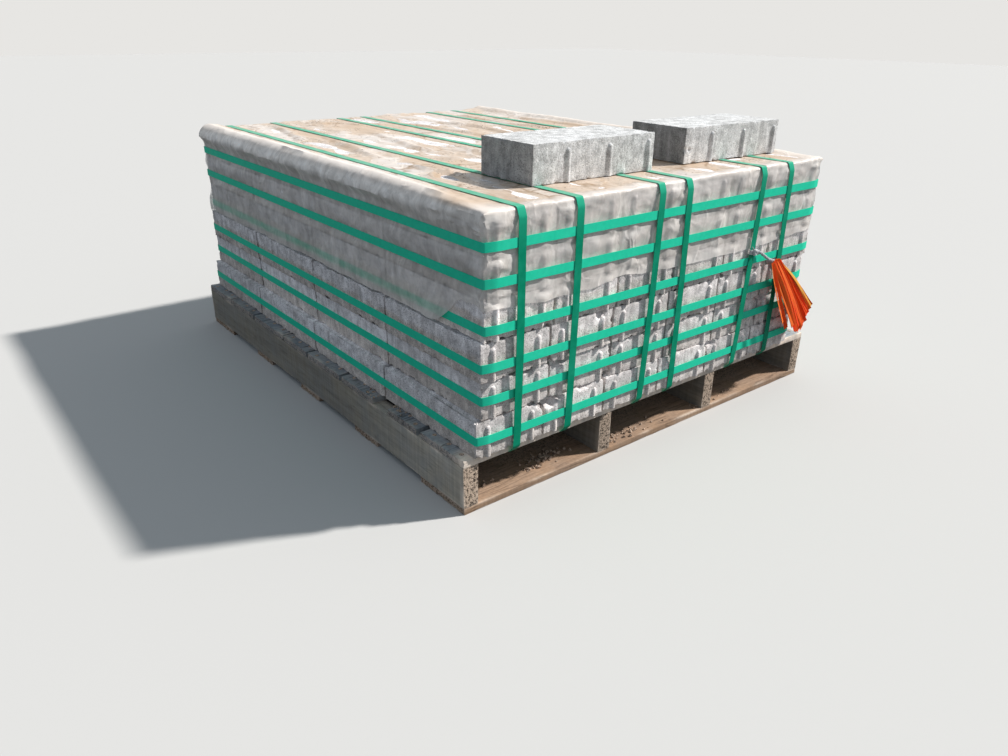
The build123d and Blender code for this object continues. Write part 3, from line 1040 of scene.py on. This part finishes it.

# Thin lines of dirt on the top, painted shade at the shaded feet of the folds with dark crumbs, and drip
# marks on the long sides
dirt_and_shade_brown = (0.36, 0.235, 0.14)
line_share = graded(tree, noise_at(tree, film_place, 10, 3), 0.46, 0.58, 0.0, 0.9)
line = graded(tree, cell_edges(tree, streaked, 13), 0.0, 0.045, 1.0, 0.0)
colour = mixed(tree, product(tree, line, line_share, dusty), colour, dirt_and_shade_brown)
colour = mixed(tree, product(tree, marked(tree, "fold_shade_and_crumbs"), 0.7), colour, dirt_and_shade_brown)
drip = noise_at(tree, stretched(tree, warp, (1, 1, 0.4)), 45, 5, 0.65)
drip = graded(tree, drip, 0.34, 0.66, 0.72, 1.16)
colour = mixed(tree, film_side, colour, mixed(tree, 1.0, colour, drip, "MULTIPLY"))
# Painted shade: the film's sides that face the sun are painted darker
sun_side_darkening = graded(tree, film_normal["X"], 0.1, 0.7)
colour = mixed(tree, sun_side_darkening, colour, mixed(tree, 1.0, colour, (0.78, 0.76, 0.72), "MULTIPLY"))

# Dark lines along the straps on the top are painted strap shadow with dirt, and grit lies all over it
beside = 1.0
for x in top_columns:
    away = reckon(tree, "ABSOLUTE", reckon(tree, "SUBTRACT", film_at["X"], x))
    beside = reckon(tree, "MINIMUM", away, beside)
strap_shadow_share = graded(tree, noise_at(tree, film_place, 16, 4), 0.40, 0.55, 0.25, 1.0)
# Painted shadow with dirt beside each strap on the top
strap_shadow_and_dirt = product(tree, graded(tree, beside, 0.0090, 0.0150, 1.0, 0.0), strap_shadow_share, on_top)
colour = mixed(tree, strap_shadow_and_dirt, colour, (0.10, 0.07, 0.045))
size, pick = grains(tree, film_place, 150, 0.2, 0.4)
grit_share = graded(tree, noise_at(tree, warp, 13, 4), 0.5, 0.68, 0.03, 0.75)
grit = product(tree, size, reckon(tree, "LESS_THAN", pick[0], grit_share), dusty)
colour = mixed(tree, grit, colour, (0.16, 0.095, 0.055))
feed(tree, colour, "Base Color")

# The film is cloudier in its creases, at the doubled hem, on the top and in the rolled long edges
haze = graded(tree, noise_at(tree, upright, 30, 4, 0.6), 0.3, 0.7, 0.36, 0.62)
haze = plus(tree, plus(tree, haze, crease, 0.22), fine, 0.08)
haze = plus(tree, haze, film_side, -0.04)
haze = plus(tree, haze, graded(tree, marked(tree, "above_hem"), 0.014, 0.019, 0.15, 0.0))
haze = plus(tree, haze, on_top, plus(tree, 0.25, stain_mix, 0.3))
left_roll = graded(tree, film_at["X"], -0.462, -0.440, 1.0, 0.0)
right_roll = graded(tree, film_at["X"], 0.412, 0.434)
on_roll = reckon(tree, "MAXIMUM", left_roll, right_roll)
haze = plus(tree, haze, graded(tree, film_at["Z"], 0.478, 0.520, 0.0, 0.55), on_roll)
feed(tree, plus(tree, plus(tree, haze, strap_shadow_and_dirt), grit, clamp=True), "Alpha")
relief = plus(tree, noise_at(tree, upright, 26), crease, 0.4)
relief = plus(tree, plus(tree, relief, fine, 0.10), grit, 0.3)
roughen(tree, relief, 0.6, 0.0026)
finish_piece(film, clear_film, "top_film")


# Straps: 16 mm bands of green plastic, drawn tight and welded. One goes round each course, and six go
# over the load and under the deck boards, outside the others.
def strap_from(name, node, axis):
    """A strap along its CAD loop, with rounded bends. The loop lies square to the given axis."""
    strap = bpy.data.objects.new(name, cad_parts[node].data.copy())
    bpy.context.scene.collection.objects.link(strap)
    low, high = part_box(node)
    middle = (low + high) / 2
    choose(strap, "VERT", lambda place: True)
    bpy.ops.mesh.remove_doubles(threshold=0.00002)
    bpy.ops.mesh.tris_convert_to_quads(face_threshold=0.02, shape_threshold=3.1)

    def not_outer(place, normal):
        out = place - middle
        out[axis] = 0
        return abs(normal[axis]) > 0.5 or out.dot(normal) < 0

    def crosswise(a, b):
        return abs((a - b)[axis]) > 0.8 * (a - b).length

    def lengthwise(a, b):
        return (a - b).length > 0.02 and abs((a - b)[axis]) < 0.3 * (a - b).length

    choose(strap, "FACE", not_outer)
    bpy.ops.mesh.delete(type="FACE")
    choose(strap, "EDGE", crosswise)
    bpy.ops.mesh.bevel(offset=0.0035, segments=4, profile=0.5, clamp_overlap=True)
    cut_across(strap, lengthwise, 10)
    choose(strap, "EDGE", crosswise)
    bpy.ops.mesh.subdivide(number_cuts=1)
    bpy.ops.mesh.select_all(action="SELECT")
    bpy.ops.mesh.normals_make_consistent(inside=False)
    bpy.ops.object.mode_set(mode="OBJECT")
    return strap


def thicken(piece, thickness, offset):
    wall = piece.modifiers.new("wall", "SOLIDIFY")
    wall.thickness = thickness
    wall.offset = offset
    wall.use_even_offset = True
    bpy.context.view_layer.objects.active = piece
    bpy.ops.object.modifier_apply(modifier=wall.name)


def strap_plastic(name, colour, pale, sheen_from):
    """Scuffed plastic, painted paler above a height as a painted sheen, and dusty where it lies on the load.
    """
    material, tree = new_finish(name, 0.5, 0.08)
    place = put(tree, "TexCoord").outputs["Object"]
    height = put(tree, "SeparateXYZ", {0: place}).outputs["Z"]
    wear_and_sheen = graded(tree, noise_at(tree, place, 24, 5, 0.65), 0.42, 0.75, 0.0, 0.55)
    # Painted sheen: above that height the strap is painted paler, as where it catches the sky and the sun
    wear_and_sheen = reckon(tree, "MAXIMUM", wear_and_sheen, graded(tree, height, sheen_from, sheen_from + 0.09))
    scuff = graded(tree, noise_at(tree, place, 140, 4), 0.3, 0.7, 0.95, 1.05)
    dust = graded(tree, noise_at(tree, place, 30, 4), 0.35, 0.65, 0.35, 0.95)
    dust = product(tree, dust, graded(tree, height, 0.5305, 0.5312))
    colour = shaded(tree, mixed(tree, wear_and_sheen, colour, pale), scuff)
    feed(tree, mixed(tree, dust, colour, (0.21, 0.45, 0.33)), "Base Color")
    feed(tree, graded(tree, wear_and_sheen, 0.0, 0.55, 0.42, 0.6), "Roughness")
    roughen(tree, noise_at(tree, place, 500, 1), 0.15, 0.0003)
    return material


strap_thickness = 0.0008
course_green = strap_plastic("course_green", (0.024, 0.70, 0.44), (0.05, 0.74, 0.49), 1.0)
vertical_green = strap_plastic("vertical_green", (0.0015, 0.26, 0.145), (0.02, 0.42, 0.26), 0.46)
for number in range(1, 7):
    strap = strap_from(f"green_course_band_{number}", f"course_strap_{number}", 2)
    thicken(strap, strap_thickness, -1)
    finish_piece(strap, course_green, f"course_strap_{number}")
for number in range(1, 7):
    strap = strap_from(f"green_upright_band_{number}", f"vertical_strap_{number}", 0)
    thicken(strap, strap_thickness, -1)
    finish_piece(strap, vertical_green, f"vertical_strap_{number}")


# Marker tie: white twine wound round the fifth upright strap and knotted. The marker hangs from it.
# Three rings and a tangle of loops sit on the strap, and four twisted strands run to the knot.
tie_place = Vector((0.2250, -0.6272, 0.3588))
knot_place = Vector((0.2915, -0.6400, 0.3300))


def twine(points, radius, closed=False):
    """A round cord through the given points."""
    bpy.ops.curve.primitive_nurbs_path_add()
    path = bpy.context.object
    line = path.data
    line.splines.clear()
    spline = line.splines.new("NURBS")
    spline.points.add(len(points) - 1)
    for point, place in zip(spline.points, points):
        point.co = (*place, 1)
    spline.order_u = 3
    spline.use_cyclic_u = closed
    spline.use_endpoint_u = not closed
    spline.resolution_u = 8
    line.bevel_depth = radius
    line.bevel_resolution = 3
    bpy.ops.object.select_all(action="DESELECT")
    path.select_set(True)
    bpy.context.view_layer.objects.active = path
    bpy.ops.object.convert(target="MESH")
    return bpy.context.object


cords = []
for lift in (-0.0030, 0.0, 0.0030):
    ring = (
        (-0.0095, 0.0020, lift), (-0.0095, -0.0010, lift), (0.0, -0.0016, lift * 1.4),
        (0.0095, -0.0010, lift), (0.0095, 0.0020, lift), (0.0, 0.0026, lift),
    )
    cords.append(twine([tie_place + Vector(corner) for corner in ring], 0.0019, closed=True))
run = (
    tie_place + Vector((0.004, -0.0018, 0.001)), tie_place + Vector((0.012, -0.0016, 0.000)),
    tie_place.lerp(knot_place, 0.35) + Vector((0, 0, 0.004)),
    tie_place.lerp(knot_place, 0.7) + Vector((0, 0, -0.002)), knot_place,
)
for strand in range(4):
    twisted = []
    for step in range(17):
        along = step / 16 * (len(run) - 1)
        first = min(int(along), len(run) - 2)
        middle = run[first].lerp(run[first + 1], along - first)
        angle = step * 0.95 + strand * math.pi / 2
        twisted.append(middle + Vector((0, 0.0022 * math.cos(angle), 0.0022 * math.sin(angle))))
    cords.append(twine(twisted, 0.0015))
knot = []
for step in range(15):
    angle = step * 2.4
    bend = (0.0042 * math.cos(angle), 0.0022 * math.sin(angle * 1.5), 0.0042 * math.sin(angle))
    knot.append(knot_place + Vector(bend))
cords.append(twine(knot, 0.0018))
tangle = []
for step in range(22):
    angle = step * 2.1
    reach = 0.0075 + 0.0025 * math.sin(step * 1.7)
    bend = (reach * math.cos(angle), -0.0055 + 0.003 * math.sin(angle * 1.3), reach * math.sin(angle))
    tangle.append(tie_place + Vector(bend))
cords.append(twine(tangle, 0.0015))
start = tie_place + Vector((-0.002, -0.002, 0.001))
for tail in (Vector((0.004, 0, 0.012)), Vector((-0.007, 0, 0.011))):
    cords.append(twine([start, start + tail * 0.5 + Vector((0.002, -0.001, 0)), start + tail], 0.0008))
tie = join("twine_tie", cords)
twine_finish, tree = new_finish("white_twine", 0.8, 0.5)
fibres = noise_at(tree, put(tree, "TexCoord").outputs["Object"], 900, 3)
feed(tree, mixed(tree, fibres, (0.22, 0.22, 0.24), (0.80, 0.81, 0.84)), "Base Color")
roughen(tree, fibres, 0.6, 0.0006)
finish_piece(tie, twine_finish, "marker_tie")


# Marker streamers: a bunch of flat orange plastic strips, folded over the twine. They fan out down to
# the right and curl a little at their ends.
bunch_top = Vector((0.2955, -0.6420, 0.3284))
bunch_spread = Vector((0.024, 0.0035, -0.003))
bunch_across = Vector((0.785, -0.620, 0.0))
bunch_inward = Vector((0.620, 0.785, 0.0))
tips = (
    Vector((0.3677, -0.660, 0.1691)), Vector((0.4079, -0.654, 0.1458)), Vector((0.4330, -0.648, 0.1481)),
    Vector((0.4598, -0.641, 0.1649)), Vector((0.4801, -0.635, 0.1911)),
)
strip_count = 38
strip_width = 0.0085
random.seed(5)
strips = []
for step in range(strip_count):
    share = min(0.999, max(0.0, (step + random.uniform(-0.3, 0.3)) / (strip_count - 1)))
    first = int(share * 4)
    tip = tips[first].lerp(tips[first + 1], share * 4 % 1)
    start = bunch_top + bunch_spread * (2 * share - 1)
    start.z += 0.006 - 0.008 * (2 * share - 1) ** 2 + random.uniform(-0.002, 0.002)
    if step < 2:
        # Two strips hang apart on the left
        tip = Vector((0.3364 + 0.012 * step, -0.658, 0.1805 - 0.01 * step))
    tip = tip.lerp(start, max(0.0, random.gauss(0.02, 0.03)))
    bpy.ops.mesh.primitive_plane_add(size=1, location=(0.5, 0, 0))
    strip = bpy.context.object
    bpy.ops.object.transform_apply(location=True, rotation=True, scale=True)
    cut_across(strip, lambda a, b: abs(a.x - b.x) > 0.5, 28)
    cut_across(strip, lambda a, b: abs(a.y - b.y) > 0.5, 2)
    facing = math.radians(random.uniform(42, 60) - (32 if step % 3 == 1 else 0))
    turn = math.radians(random.uniform(-12, 12))
    bow = random.uniform(-0.004, 0.004)
    depth = random.uniform(-0.002, 0.003)
    for point in strip.data.vertices:
        along, across = point.co.x, point.co.y
        width = strip_width * (0.45 + 0.55 * min(1.0, along * 4))
        angle = facing + turn * along
        wide = bunch_across * math.cos(angle) + bunch_inward * math.sin(angle)
        place = start.lerp(tip, along) + wide * across * width
        place += bunch_across * bow * math.sin(math.pi * along) + bunch_inward * depth * along
        place.z += 0.004 * math.sin(math.pi * along) + 0.006 * across * along ** 8
        point.co = place
    # The first strip is a paler orange, and two on the right are painted nearly yellow, as painted sunlight
    # shining through them
    mark(strip, "tone", 0.3 if step == 0 else 1.0 if step in (35, 36) else random.random() ** 3 * 0.25)
    strips.append(strip)
streamers = join("orange_streamers", strips)
thicken(streamers, 0.0003, 0)
orange_plastic, tree = new_finish("orange_plastic", 0.38, 0.07)
cloudy = noise_at(tree, put(tree, "TexCoord").outputs["Object"], 60, 3)
tone_and_backlight = plus(tree, marked(tree, "tone"), cloudy, 0.08, clamp=True)
feed(tree, mixed(tree, tone_and_backlight, (0.82, 0.028, 0.005), (1.0, 0.46, 0.09)), "Base Color")
plastic = tree.nodes["Principled BSDF"].inputs
plastic["Subsurface Weight"].default_value = 0.15
plastic["Subsurface Radius"].default_value = (1.0, 0.35, 0.1)
plastic["Subsurface Scale"].default_value = 0.006
roughen(tree, cloudy, 0.3, 0.002)
finish_piece(streamers, orange_plastic, "marker_streamers")
